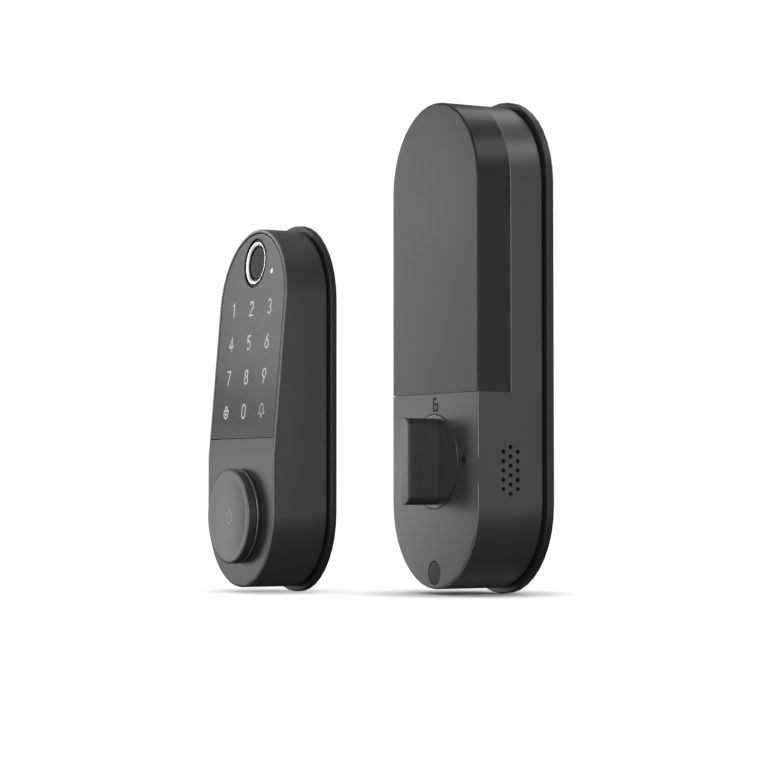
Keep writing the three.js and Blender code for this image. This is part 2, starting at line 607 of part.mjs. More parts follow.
{
  const profile = [[CELL_R - 0.5, 0], [CELL_R, 0.5], [CELL_R, CELL_BODY - 0.6], [CELL_R - 0.6, CELL_BODY],
    [2.7, CELL_BODY], [2.6, CELL_BODY + CELL_NUB]];
  for (let i = 0; i < 4; i++) {
    const x = (i - 1.5) * CELL_PITCH;
    const geometry = new THREE.LatheGeometry(
      [new THREE.Vector2(0, 0), ...profile.map(([r, h]) => new THREE.Vector2(r, h)),
        new THREE.Vector2(0, CELL_BODY + CELL_NUB)], MID_ROUND);
    geometry.rotateX(Math.PI / 2);
    if (i % 2 === 1) geometry.rotateX(Math.PI).translate(0, 0, CELL_BODY + CELL_NUB);
    geometry.translate(x, CELL_Y, CELL_Z);
    piece(indoor, `cell_${i + 1}`, solid(geometry), CELL_WRAP);
  }
}

// Bent contact strips; centres lists the cells each strip reaches.
function contact(name, centres, base, tip) {
  const reach = 5;
  const ends = [centres[0] - reach, centres[centres.length - 1] + reach];
  const line = [[ends[0], base]];
  for (const x of centres) line.push([x - 3.5, base], [x - 1.2, tip], [x + 1.2, tip], [x + 3.5, base]);
  line.push([ends[1], base]);
  const t = 0.4;
  const outline = () => [...line.map(([x, z]) => [x, z - t / 2]),
    ...[...line].reverse().map(([x, z]) => [x, z + t / 2])];
  const half = CELL_R - 2.6;
  piece(indoor, name, prism(outline, CELL_Y + half, CELL_Y - half), STEEL);
}
const lowBase = BAY.low + FIT + 0.2;
const lowTip = CELL_Z - FIT - 0.2;
const topBase = BAY.high - FIT - 0.2;
const topTip = CELL_Z + CELL_BODY + CELL_NUB + FIT + 0.2;
const cellAt = [-1.5, -0.5, 0.5, 1.5].map((n) => n * CELL_PITCH);
contact('contact_low_left', [cellAt[0], cellAt[1]], lowBase, lowTip);
contact('contact_low_right', [cellAt[2], cellAt[3]], lowBase, lowTip);
contact('contact_top_left', [cellAt[0]], topBase, topTip);
contact('contact_top_middle', [cellAt[1], cellAt[2]], topBase, topTip);
contact('contact_top_right', [cellAt[3]], topBase, topTip);

{
  const { w, low, high, y, t } = MAIN_BOARD;
  const middle = (low + high) / 2;
  piece(indoor, 'main_board', prism(roundRect(w, high - low, 3, 0, middle), y, y - t), BOARD);
  piece(indoor, 'radio_module',
    prism(roundRect(18, 16, 1, -8, middle + 6), y + FIT + 3, y + FIT), CAN);
  piece(indoor, 'main_board_socket',
    prism(roundRect(14, 6, 0.6, 6, low + 5, 2), y + FIT + 5, y + FIT), NYLON);
  const stop = -FRAME_FRONT + FRAME_SKIN + FIT;
  const button = turned([[RESET.r, y - t - 1.2], [RESET.r, stop + 1.2], [RESET.r + 1, stop + 1.2],
    [RESET.r + 1, stop], [RESET.r, stop], [RESET.r, -FRAME_FRONT + FIT]], RESET.x, RESET.z, SMALL_ROUND);
  piece(indoor, 'reset_button', button, NYLON);
}

const gripFront = inFront - GRIP.rise;
const tenon = { side: 6, front: -42 };
{
  const disc = prism(circle(THUMB_DISC_R, 0, THUMB_Z, DISC_ROUND), discRear, discFront,
    { edge: 0.2, steps: 1 });
  const grip = prism(roundRect(GRIP.w, GRIP.h, GRIP.r, 0, THUMB_Z, 8), discFront + 0.5, gripFront,
    { edge: 0.7 });
  const pocketSide = tenon.side + 2 * FIT;
  const pocket = block(4.4, 10, pocketSide, 0, tenon.front - FIT + 5, THUMB_Z);
  piece(indoor, 'thumbturn', cut(join(disc, grip), pocket), KNOB_COAT);

  const shaft = turned([[SHAFT_R - 0.5, -4.8], [SHAFT_R, -5.3], [SHAFT_R, discRear + FIT]], 0, THUMB_Z,
    MID_ROUND);
  const tongue = block(3.8, 10, tenon.side, 0, tenon.front + 5, THUMB_Z);
  const slot = block(2.8, 30, 8.4, 0, 0, THUMB_Z);
  piece(indoor, 'thumb_shaft', cut(join(shaft, tongue), slot), STEEL);
}

{
  const towardIdler = Math.atan2(idlerZ - THUMB_Z, IDLER_X);
  const towardMotor = Math.atan2(motorZ - idlerZ, motorX - IDLER_X);
  const step = (teeth) => 2 * Math.PI / teeth;
  const meshing = (angle, phase, teeth, otherTeeth) => {
    const ahead = (angle - phase) / step(teeth);
    return angle + Math.PI - (0.5 - ahead) * step(otherTeeth);
  };
  const drivePhase = 0;
  const idlerPhase = meshing(towardIdler, drivePhase, DRIVE_TEETH, PINION_TEETH);
  const motorPhase = meshing(towardMotor, idlerPhase, WHEEL_TEETH, PINION_TEETH);

  const wheel = prism(gear(DRIVE_TEETH, 0, THUMB_Z, drivePhase), -20, -24);
  const wheelBore = turned([[SHAFT_R + FIT, 0], [SHAFT_R + FIT, -50]], 0, THUMB_Z, MID_ROUND);
  piece(indoor, 'drive_gear', cut(wheel, wheelBore), NYLON);

  const large = prism(gear(WHEEL_TEETH, IDLER_X, idlerZ, idlerPhase), -26.3, -29);
  const small = prism(gear(PINION_TEETH, IDLER_X, idlerZ, idlerPhase), -19.7, -26.8);
  const idlerBore = turned([[1.8, 0], [1.8, -50]], IDLER_X, idlerZ, SMALL_ROUND);
  piece(indoor, 'idler_gear', cut(join(large, small), idlerBore), NYLON);
  piece(indoor, 'idler_pin', turned([[1.5, -16.5], [1.5, skin + 0.7]], IDLER_X, idlerZ, SMALL_ROUND), STEEL);

  const pinion = prism(gear(PINION_TEETH, motorX, motorZ, motorPhase), -25.9, -29.3);
  const stub = turned([[1, -25.2], [1, -29.9]], motorX, motorZ, 16);
  piece(indoor, 'motor_pinion', join(pinion, stub), BRASS);

  const can = turned([[MOTOR_R - 0.6, -6], [MOTOR_R, -6.6], [MOTOR_R, -24], [3, -24], [3, -24.8]],
    motorX, motorZ, MID_ROUND);
  piece(indoor, 'motor', can, CAN);

  const sheet = prism(roundRect(48, 52, 6, -3, 46), -17.4, -19);
  const legs = [[17, 26], [-23, 64], [17, 68]].map(([x, z]) => (
    turned([[2.5, -18], [2.5, skin + FIT]], x, z, 16)));
  const openings = [
    turned([[SHAFT_R + FIT, 0], [SHAFT_R + FIT, -50]], 0, THUMB_Z, MID_ROUND),
    turned([[MOTOR_R + FIT, 0], [MOTOR_R + FIT, -50]], motorX, motorZ, MID_ROUND),
    turned([[1.8, 0], [1.8, -50]], IDLER_X, idlerZ, SMALL_ROUND),
  ];
  piece(indoor, 'gear_bracket', cut(join(sheet, ...legs), ...openings), BLACK);
}

{
  const outer = IN_W / 2 - WALL - FIT;
  const can = pinAlongX(SPEAKER.r, SPEAKER.t, outer - SPEAKER.t / 2, SPEAKER.y, SPEAKER.z);
  const cone = pinAlongX(SPEAKER.r - 1.4, 1.6, outer, SPEAKER.y, SPEAKER.z);
  const dome = pinAlongX(3, 1.2, outer - 0.9, SPEAKER.y, SPEAKER.z, 24);
  piece(indoor, 'speaker', join(cut(can, cone), dome), BLACK);
}

piece(indoor, 'screw_plug',
  prism(circle(STOPPER_R, 0, LOW_SCREW_Z, 36), inFront + 5, inFront, { edge: 0.2, steps: 1 }), RUBBER);

for (const [name, z] of [['in_screw_low', LOW_SCREW_Z], ['in_screw_top', TOP_SCREW_Z]]) {
  const seat = screwFloor - FIT;
  const screw = turned([[2, -0.5], [2, seat], [3.8, seat], [3.8, seat - 2], [3.3, seat - 2.6]],
    0, z, SMALL_ROUND);
  const cross = [block(4.6, 3, 0.9, 0, seat - 2.6, z), block(0.9, 3, 4.6, 0, seat - 2.6, z)];
  piece(indoor, name, cut(screw, ...cross), STEEL);
}

const lock = new THREE.Group();
lock.name = 'keypad_smart_lock';
lock.add(outdoor, indoor);

export default lock;
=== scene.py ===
import json
import math

import bpy
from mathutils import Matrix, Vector


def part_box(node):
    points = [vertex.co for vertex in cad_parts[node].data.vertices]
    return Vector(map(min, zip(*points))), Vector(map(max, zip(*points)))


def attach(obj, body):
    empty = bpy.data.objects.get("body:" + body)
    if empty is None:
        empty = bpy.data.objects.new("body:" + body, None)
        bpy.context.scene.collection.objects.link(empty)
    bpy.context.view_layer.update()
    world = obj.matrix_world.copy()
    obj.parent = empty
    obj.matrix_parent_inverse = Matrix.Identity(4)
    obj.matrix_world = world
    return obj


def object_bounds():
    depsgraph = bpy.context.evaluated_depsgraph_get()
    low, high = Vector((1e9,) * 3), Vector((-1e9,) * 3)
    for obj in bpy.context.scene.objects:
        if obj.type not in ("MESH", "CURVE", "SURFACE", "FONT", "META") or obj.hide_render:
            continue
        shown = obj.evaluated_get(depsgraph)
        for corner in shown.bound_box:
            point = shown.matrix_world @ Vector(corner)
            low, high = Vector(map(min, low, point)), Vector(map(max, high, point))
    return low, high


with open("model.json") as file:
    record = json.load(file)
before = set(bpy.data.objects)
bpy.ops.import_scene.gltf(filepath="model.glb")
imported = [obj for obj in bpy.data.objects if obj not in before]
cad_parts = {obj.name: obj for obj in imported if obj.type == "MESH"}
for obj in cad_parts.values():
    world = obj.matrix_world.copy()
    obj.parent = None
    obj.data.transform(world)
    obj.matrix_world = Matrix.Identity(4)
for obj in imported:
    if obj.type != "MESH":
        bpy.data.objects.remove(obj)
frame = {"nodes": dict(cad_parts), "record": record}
CAD_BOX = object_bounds()
nodes = frame["nodes"]
scene = bpy.context.scene

# ------------------------------------------------------------------ camera
AZIMUTH = math.radians(61.03)
PITCH = math.radians(2.43)
CAMERA_AT = Vector((0.8943, -0.5555, -0.0583))
SENSOR_MM = 36.0
LENS_MM = 118.42
NEAREST, FARTHEST = 0.01, 50.0
LOOK = Vector((
    -math.sin(AZIMUTH) * math.cos(PITCH),
    math.cos(AZIMUTH) * math.cos(PITCH),
    math.sin(PITCH),
))
camera_data = bpy.data.cameras.new("camera")
camera_data.sensor_width = SENSOR_MM
camera_data.lens = LENS_MM
camera_data.clip_start = NEAREST
camera_data.clip_end = FARTHEST
camera = bpy.data.objects.new("camera", camera_data)
camera.location = CAMERA_AT
camera.rotation_euler = LOOK.to_track_quat("-Z", "Y").to_euler()
scene.collection.objects.link(camera)
scene.camera = camera

# ------------------------------------------------------------------ light
scene.view_settings.view_transform = "Standard"
scene.view_settings.look = "None"

WHITE = (1, 1, 1, 1)
SEEN_LEVEL = 1.05  # background that the camera sees
ROOM, ROOM_LOW = 0.38, 0.09  # light from the room above and below
ROOM_FROM, ROOM_TO = -0.45, 0.05  # heights of direction between the two
DARK_SIDE = (-0.875, 0.484, 0.0)  # the room is dimmer toward this direction
DARK_FROM, DARK_TO, DARK_LEVEL = 0.60, 0.92, 0.25
world = bpy.data.worlds.new("studio")
scene.world = world
world.use_nodes = True
wt = world.node_tree
wt.nodes.clear()


def world_range(low, high, out_low, out_high):
    node = wt.nodes.new("ShaderNodeMapRange")
    node.interpolation_type = "SMOOTHSTEP"
    node.inputs["From Min"].default_value = low
    node.inputs["From Max"].default_value = high
    node.inputs["To Min"].default_value = out_low
    node.inputs["To Max"].default_value = out_high
    return node


w_out = wt.nodes.new("ShaderNodeOutputWorld")
w_mix = wt.nodes.new("ShaderNodeMixShader")
w_path = wt.nodes.new("ShaderNodeLightPath")
w_seen = wt.nodes.new("ShaderNodeBackground")
w_seen.inputs["Color"].default_value = WHITE
w_seen.inputs["Strength"].default_value = SEEN_LEVEL
w_room = wt.nodes.new("ShaderNodeBackground")
w_room.inputs["Color"].default_value = WHITE
w_coord = wt.nodes.new("ShaderNodeTexCoord")
w_split = wt.nodes.new("ShaderNodeSeparateXYZ")
w_range = world_range(ROOM_FROM, ROOM_TO, ROOM_LOW, ROOM)
w_dark = wt.nodes.new("ShaderNodeVectorMath")
w_dark.operation = "DOT_PRODUCT"
w_dark.inputs[1].default_value = DARK_SIDE
w_fade = world_range(DARK_FROM, DARK_TO, 1.0, DARK_LEVEL)
w_level = wt.nodes.new("ShaderNodeMath")
w_level.operation = "MULTIPLY"
wt.links.new(w_coord.outputs["Generated"], w_split.inputs[0])
wt.links.new(w_split.outputs["Z"], w_range.inputs["Value"])
wt.links.new(w_coord.outputs["Generated"], w_dark.inputs[0])
wt.links.new(w_dark.outputs["Value"], w_fade.inputs["Value"])
wt.links.new(w_range.outputs["Result"], w_level.inputs[0])
wt.links.new(w_fade.outputs["Result"], w_level.inputs[1])
wt.links.new(w_level.outputs["Value"], w_room.inputs["Strength"])
wt.links.new(w_path.outputs["Is Camera Ray"], w_mix.inputs[0])
wt.links.new(w_room.outputs[0], w_mix.inputs[1])
wt.links.new(w_seen.outputs[0], w_mix.inputs[2])
wt.links.new(w_mix.outputs[0], w_out.inputs["Surface"])

# points that the lamps aim at
OUTDOOR = Vector((-0.0602, -0.085, -0.025))
INDOOR = Vector((0.0, -0.025, 0.0))
BOTH = (OUTDOOR + INDOOR) / 2
UPPER = INDOOR + Vector((0.0, 0.0, 0.055))
GRIP = INDOOR + Vector((-0.036, -0.010, -0.083))
CROWN = OUTDOOR + Vector((0.0, 0.0, 0.060))
FOOT = OUTDOOR + Vector((0.0, 0.0, -0.055))
READER = OUTDOOR + Vector((0.0, 0.0, 0.045))

# name: (centre, direction, distance, width, height, watts, unit that it lights)
SOFTBOXES = {
    "key_crown": (CROWN, (-0.82, -0.57, 0.15), 0.45, 0.20, 0.14, 0.24, "upper"),
    "key_foot": (FOOT, (-0.82, -0.57, 0.02), 0.45, 0.20, 0.14, 0.25, "outdoor"),
    "key_in": (UPPER, (-0.88, -0.475, 0.05), 0.52, 0.14, 0.26, 0.52, "indoor"),
    "grip_in": (GRIP, (-0.895, -0.445, 0.0), 0.15, 0.05, 0.09, 0.042, "indoor"),
    "high_out": (CROWN, (-0.78, -0.46, 0.42), 0.50, 0.25, 0.15, 0.64, "upper"),
    "ring_glow": (READER, (-0.60, -0.80, 0.05), 0.35, 0.70, 0.60, 0.75, "ring"),
    "right": (BOTH, (0.93, -0.34, 0.12), 0.90, 0.40, 0.50, 4.5, "both"),
    "side": (BOTH, (0.86, 0.50, 0.02), 0.90, 0.40, 0.50, 0.60, "both"),
    "rim": (BOTH, (0.44, -0.87, 0.16), 0.90, 0.25, 0.60, 1.8, "both"),
    "arc_in": (INDOOR, (0.50, 0.50, 0.70), 0.80, 0.30, 0.25, 1.10, "indoor"),
    "crown_in": (INDOOR, (-0.32, 0.50, 0.80), 0.80, 0.30, 0.25, 0.46, "indoor"),
    "under_in": (INDOOR, (-0.35, 0.50, -0.78), 0.80, 0.30, 0.25, 0.05, "indoor"),
    "crown_out": (OUTDOOR, (-0.70, 0.50, 0.50), 0.80, 0.30, 0.25, 0.06, "outdoor"),
    "top": (BOTH, (0.0, -0.05, 1.0), 0.90, 0.60, 0.40, 1.7, "both"),
}
# "upper" is the outdoor unit without its knob and cap, "ring" only the fingerprint ring
OUTDOOR_NODES = ("out_", "keypad_panel", "fingerprint", "status_lens", "touch_board", "knob", "key_",
                 "spindle_driver")
unit_objects = {"outdoor": [], "indoor": [], "upper": [], "ring": [nodes["fingerprint_ring"]]}
for node_name, node_object in nodes.items():
    unit_objects["outdoor" if node_name.startswith(OUTDOOR_NODES) else "indoor"].append(node_object)
    if node_name.startswith(OUTDOOR_NODES) and node_name not in ("knob", "key_cap"):
        unit_objects["upper"].append(node_object)
unit_collections = {}
for unit, members in unit_objects.items():
    group = bpy.data.collections.new("lit_" + unit)
    for member in members:
        group.objects.link(member)
    unit_collections[unit] = group


def softbox(name, centre, direction, distance, width, height, watts, unit):
    data = bpy.data.lights.new(name, "AREA")
    data.shape = "RECTANGLE"
    data.size = width
    data.size_y = height
    data.energy = watts
    lamp = bpy.data.objects.new(name, data)
    toward = Vector(direction).normalized()
    lamp.location = centre + toward * distance
    lamp.rotation_euler = toward.to_track_quat("Z", "Y").to_euler()
    lamp.visible_camera = False
    scene.collection.objects.link(lamp)
    if unit != "both":
        lamp.light_linking.receiver_collection = unit_collections[unit]
        blocker = "outdoor" if unit == "upper" else unit
        lamp.light_linking.blocker_collection = unit_collections[blocker]


for lamp_name, settings in SOFTBOXES.items():
    softbox(lamp_name, *settings)

# ------------------------------------------------------------------ floor
FLOOR_Z = CAD_BOX[0][2]
FLOOR_HALF = 6.0
floor_mesh = bpy.data.meshes.new("floor")
corners = ((-1, -1), (1, -1), (1, 1), (-1, 1))
floor_mesh.from_pydata([(x * FLOOR_HALF, y * FLOOR_HALF, FLOOR_Z) for x, y in corners], [], [(0, 1, 2, 3)])
floor = bpy.data.objects.new("floor", floor_mesh)
scene.collection.objects.link(floor)
floor.visible_glossy = False
floor.visible_diffuse = False


# ------------------------------------------------------------------ materials
FRONTWARD = (0.0, -1.0, 0.0)
BALL_BLEND = 0.0001  # width of the rim of a ball that limits the painted edge highlight
GRAIN_BUMP, BRUSH_BUMP = 0.5, 0.3
BRUSH_SCALE = 900.0
BRUSH_DEPTH = 0.00001


def new_material(name):
    m = bpy.data.materials.new(name)
    m.use_nodes = True
    tree = m.node_tree
    shader = next(n for n in tree.nodes if n.type == "BSDF_PRINCIPLED")
    return m, tree, shader


def mix_colour(tree, fac, dark, light):
    ramp = tree.nodes.new("ShaderNodeMix")
    ramp.data_type = "RGBA"
    ramp.inputs[6].default_value = (*dark, 1)
    ramp.inputs[7].default_value = (*light, 1)
    tree.links.new(fac, ramp.inputs[0])
    return ramp.outputs[2]


def noise(tree, scale, detail=3.0, rough=0.55, stretch=None):
    coord = tree.nodes.new("ShaderNodeTexCoord")
    tex = tree.nodes.new("ShaderNodeTexNoise")
    tex.inputs["Scale"].default_value = scale
    tex.inputs["Detail"].default_value = detail
    tex.inputs["Roughness"].default_value = rough
    source = coord.outputs["Object"]
    if stretch:
        mapping = tree.nodes.new("ShaderNodeMapping")
        mapping.inputs["Scale"].default_value = stretch
        tree.links.new(source, mapping.inputs["Vector"])
        source = mapping.outputs["Vector"]
    tree.links.new(source, tex.inputs["Vector"])
    return tex.outputs["Fac"]


def map_range(tree, value, low, high, out_low, out_high):
    node = tree.nodes.new("ShaderNodeMapRange")
    node.inputs["From Min"].default_value = low
    node.inputs["From Max"].default_value = high
    node.inputs["To Min"].default_value = out_low
    node.inputs["To Max"].default_value = out_high
    tree.links.new(value, node.inputs["Value"])
    return node.outputs["Result"]


def bump(tree, shader, height, strength, distance):
    node = tree.nodes.new("ShaderNodeBump")
    node.inputs["Strength"].default_value = strength
    node.inputs["Distance"].default_value = distance
    tree.links.new(height, node.inputs["Height"])
    tree.links.new(node.outputs["Normal"], shader.inputs["Normal"])


def multiply(tree, first, second):
    node = tree.nodes.new("ShaderNodeMath")
    node.operation = "MULTIPLY"
    tree.links.new(first, node.inputs[0])
    tree.links.new(second, node.inputs[1])
    return node.outputs["Value"]


def from_vector(tree, operation, source, fixed):
    """Dot product with, or distance from, a fixed vector."""
    node = tree.nodes.new("ShaderNodeVectorMath")
    node.operation = operation
    node.inputs[1].default_value = fixed
    tree.links.new(source, node.inputs[0])
    return node.outputs["Value"]


def edge_highlight_mask(tree, near, radius, inside):
    """Mask for a painted highlight: one on the rounded edge between a front face and its side, nought on
    both faces.

    The painted highlight is kept only inside, or only outside, a ball round a point.
    """
    coord = tree.nodes.new("ShaderNodeTexCoord")
    facing = from_vector(tree, "DOT_PRODUCT", coord.outputs["Normal"], FRONTWARD)
    rise = map_range(tree, facing, 0.25, 0.45, 0.0, 1.0)
    fall = map_range(tree, facing, 0.90, 0.97, 1.0, 0.0)
    span = from_vector(tree, "DISTANCE", coord.outputs["Object"], near)
    low, high = (1.0, 0.0) if inside else (0.0, 1.0)
    kept = map_range(tree, span, radius, radius + BALL_BLEND, low, high)
    return multiply(tree, multiply(tree, rise, fall), kept)


def coated(name, dark, light, rough, grain=2600.0, grain_depth=0.000012, ior=1.5, spread=0.05, edge=None):
    """Paint or moulded plastic: a slow change of colour and a fine grain in gloss and height. An optional
    painted highlight lightens the rounded edges.
    """
    m, tree, shader = new_material(name)
    cloud = noise(tree, 38.0, 3.0)
    fine = noise(tree, grain, 2.0, 0.6)
    colour = mix_colour(tree, cloud, dark, light)
    # painted highlight: the rounded edges are lightened towards this level, where light glints on them
    if edge:
        level, near, radius, inside = edge
        painted_highlight = mix_colour(tree, edge_highlight_mask(tree, near, radius, inside), dark, (level, level, level))
        tree.links.new(colour, painted_highlight.node.inputs[6])
        colour = painted_highlight
    tree.links.new(colour, shader.inputs["Base Color"])
    gloss = map_range(tree, fine, 0.3, 0.7, rough - spread, rough + spread)
    tree.links.new(gloss, shader.inputs["Roughness"])
    shader.inputs["IOR"].default_value = ior
    bump(tree, shader, fine, GRAIN_BUMP, grain_depth)
    return m


def brushed(name, dark, light, rough, stretch):
    m, tree, shader = new_material(name)
    lines = noise(tree, BRUSH_SCALE, 3.0, 0.6, stretch)
    tree.links.new(mix_colour(tree, lines, dark, light), shader.inputs["Base Color"])
    gloss = map_range(tree, lines, 0.3, 0.7, rough - 0.06, rough + 0.08)
    tree.links.new(gloss, shader.inputs["Roughness"])
    shader.inputs["Metallic"].default_value = 1.0
    bump(tree, shader, lines, BRUSH_BUMP, BRUSH_DEPTH)
    return m


def ring_with_painted_shade(name, painted_shade, bevel, rough):
    """Bright metal bevel at the front of the ring; behind it, deeper in the recess next to the finger pad,
    the colour is painted dark as shade.
    """
    m, tree, shader = new_material(name)
    coord = tree.nodes.new("ShaderNodeTexCoord")
    depth = from_vector(tree, "DOT_PRODUCT", coord.outputs["Object"], PANEL_NORMAL)
    face = PANEL_NORMAL.dot(Vector((0.0, PANEL_LOW.y, PANEL_LOW.z)))
    painted_shade_at = face - RING_SHADE_DEPTH
    bright = map_range(tree, depth, painted_shade_at, painted_shade_at + RING_BLEND, 0.0, 1.0)
    tree.links.new(mix_colour(tree, bright, painted_shade, bevel), shader.inputs["Base Color"])
    fine = noise(tree, RING_GRAIN, 3.0, 0.6)
    gloss = map_range(tree, fine, 0.3, 0.7, rough - 0.04, rough + 0.04)
    tree.links.new(gloss, shader.inputs["Roughness"])
    shader.inputs["Metallic"].default_value = 1.0
    return m


PANEL_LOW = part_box("keypad_panel")[0]
LEAN = math.radians(4.84)  # the panel leans back by this angle
PANEL_NORMAL = Vector((0.0, -math.cos(LEAN), math.sin(LEAN)))
RING_SHADE_DEPTH = 0.00080  # the ring is painted dark as shade deeper than this behind the panel's face
RING_BLEND = 0.00010
RING_GRAIN = 1200.0
SPEAKER_LOW, SPEAKER_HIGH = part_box("speaker")
SPEAKER_AT = Vector((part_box("in_housing")[1].x, (SPEAKER_LOW.y + SPEAKER_HIGH.y) / 2,
                     (SPEAKER_LOW.z + SPEAKER_HIGH.z) / 2))
CAP_LOW, CAP_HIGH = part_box("key_cap")
CAP_X = (CAP_LOW.x + CAP_HIGH.x) / 2
CAP_Z = (CAP_LOW.z + CAP_HIGH.z) / 2
CAP_FRONT = Vector((CAP_X, CAP_LOW.y, CAP_Z))

M = {
    # painted highlight on the rounded edges of the housings, kept away from the speaker
    "coat": coated("coat", (0.020, 0.0205, 0.0215), (0.026, 0.0265, 0.0275), 0.40, ior=1.55,
                   edge=(0.14, SPEAKER_AT, 0.016, False)),
    "dark_coat": coated("dark_coat", (0.009, 0.009, 0.0093), (0.012, 0.012, 0.0123), 0.45, ior=1.43),
    # painted highlight on the rim of the key cap only
    "knob_coat": coated("knob_coat", (0.018, 0.0185, 0.019), (0.024, 0.0245, 0.0255), 0.34, ior=1.55,
                        edge=(0.38, CAP_FRONT, 0.02005, True)),
    "cover_plastic": coated("cover_plastic", (0.006, 0.0062, 0.0066), (0.008, 0.0082, 0.0086), 0.37,
                            ior=1.36),
    "panel": coated("panel", (0.009, 0.009, 0.0094), (0.011, 0.011, 0.0114), 0.27, grain=1800.0,
                    grain_depth=0.0000012, ior=1.38, spread=0.015),
    "seal": coated("seal", (0.014, 0.014, 0.0145), (0.020, 0.020, 0.0205), 0.60, grain=1500.0,
                   ior=1.45),
    "black_plastic": coated("black_plastic", (0.006, 0.006, 0.0065), (0.009, 0.009, 0.0095), 0.42,
                            ior=1.2),
    # the ring's dark colour is painted shade in its recess next to the pad
    "bright_ring": ring_with_painted_shade("bright_ring", (0.03, 0.03, 0.03), (0.92, 0.92, 0.93), 0.18),
    "lamp": coated("lamp", (0.85, 0.88, 0.9), (0.95, 0.96, 0.97), 0.3),
    "circuit_board": coated("circuit_board", (0.005, 0.07, 0.025), (0.010, 0.11, 0.040), 0.35,
                            grain=900.0),
    "can": brushed("can", (0.45, 0.46, 0.47), (0.62, 0.63, 0.64), 0.35, (1, 1, 14)),
    "steel": brushed("steel", (0.38, 0.39, 0.40), (0.58, 0.59, 0.60), 0.32, (1, 18, 1)),
    "brass": brushed("brass", (0.52, 0.36, 0.12), (0.72, 0.53, 0.22), 0.28, (1, 22, 1)),
    "nylon": coated("nylon", (0.62, 0.60, 0.54), (0.74, 0.72, 0.66), 0.42, grain=1400.0),
    "cell_wrap": coated("cell_wrap", (0.030, 0.055, 0.075), (0.045, 0.075, 0.10), 0.28, grain=700.0),
    "print_light": coated("print_light", (0.70, 0.71, 0.72), (0.80, 0.81, 0.82), 0.5),
    "print_mid": coated("print_mid", (0.42, 0.425, 0.43), (0.48, 0.485, 0.49), 0.5),
    "print_dark": coated("print_dark", (0.006, 0.006, 0.006), (0.009, 0.009, 0.009), 0.7,
                         ior=1.25),
}

floor_mat, floor_tree, floor_shader = new_material("floor")
floor_cloud = noise(floor_tree, 3.0, 2.0)
floor_tree.links.new(mix_colour(floor_tree, floor_cloud, (0.90, 0.90, 0.90), (0.92, 0.92, 0.92)),
                     floor_shader.inputs["Base Color"])
floor_shader.inputs["Roughness"].default_value = 0.9
floor_shader.inputs["Emission Color"].default_value = (1.0, 1.0, 1.0, 1.0)
# The floor glows to look evenly white, and glows less near the foot of each unit as a painted contact
# shadow: (x, y), near, far, level near, level far.
FOOT_PAINTED_SHADOWS = (
    ((BOTH.x, BOTH.y), 0.04, 0.20, 0.58, 0.75),
    ((0.0, -0.020), 0.015, 0.055, 0.00, 1.0),
    ((OUTDOOR.x, -0.082), 0.010, 0.040, 0.58, 1.0),
)
floor_place = floor_tree.nodes.new("ShaderNodeTexCoord")
floor_glow_and_painted_shadow = None
for spot, near, far, at_spot, away in FOOT_PAINTED_SHADOWS:
    span = from_vector(floor_tree, "DISTANCE", floor_place.outputs["Object"], (*spot, FLOOR_Z))
    painted_shadow = map_range(floor_tree, span, near, far, at_spot, away)
    floor_glow_and_painted_shadow = painted_shadow if floor_glow_and_painted_shadow is None else multiply(floor_tree, floor_glow_and_painted_shadow, painted_shadow)
floor_tree.links.new(floor_glow_and_painted_shadow, floor_shader.inputs["Emission Strength"])
floor.data.materials.append(floor_mat)

WELD_M = 0.000002
SHARP_ANGLE = math.radians(25)
slot_of = {s["node"]: s["material_slot"] for s in frame["record"]["subparts"]}
for name, obj in nodes.items():
    obj.data.materials.clear()
    obj.data.materials.append(M[slot_of[name]])
    for poly in obj.data.polygons:
        poly.use_smooth = True
    weld = obj.modifiers.new("weld", "WELD")
    weld.merge_threshold = WELD_M
    split = obj.modifiers.new("split", "EDGE_SPLIT")
    split.split_angle = SHARP_ANGLE
    weighted = obj.modifiers.new("weighted", "WEIGHTED_NORMAL")
    weighted.keep_sharp = True

# ------------------------------------------------------------------ printed marks
STROKE = 0.00062
PRINT_THICK, PRINT_THIN = 0.00006, 0.00005
INDOOR_MARKS = ("icon_open", "icon_closed")
TINY = 1e-9
SMALL_TURN = 1e-6  # below this two strokes fold back on each other
MITRE_LIMIT = 0.5
CAP_END = 0.3  # an open stroke runs on by this share of its width


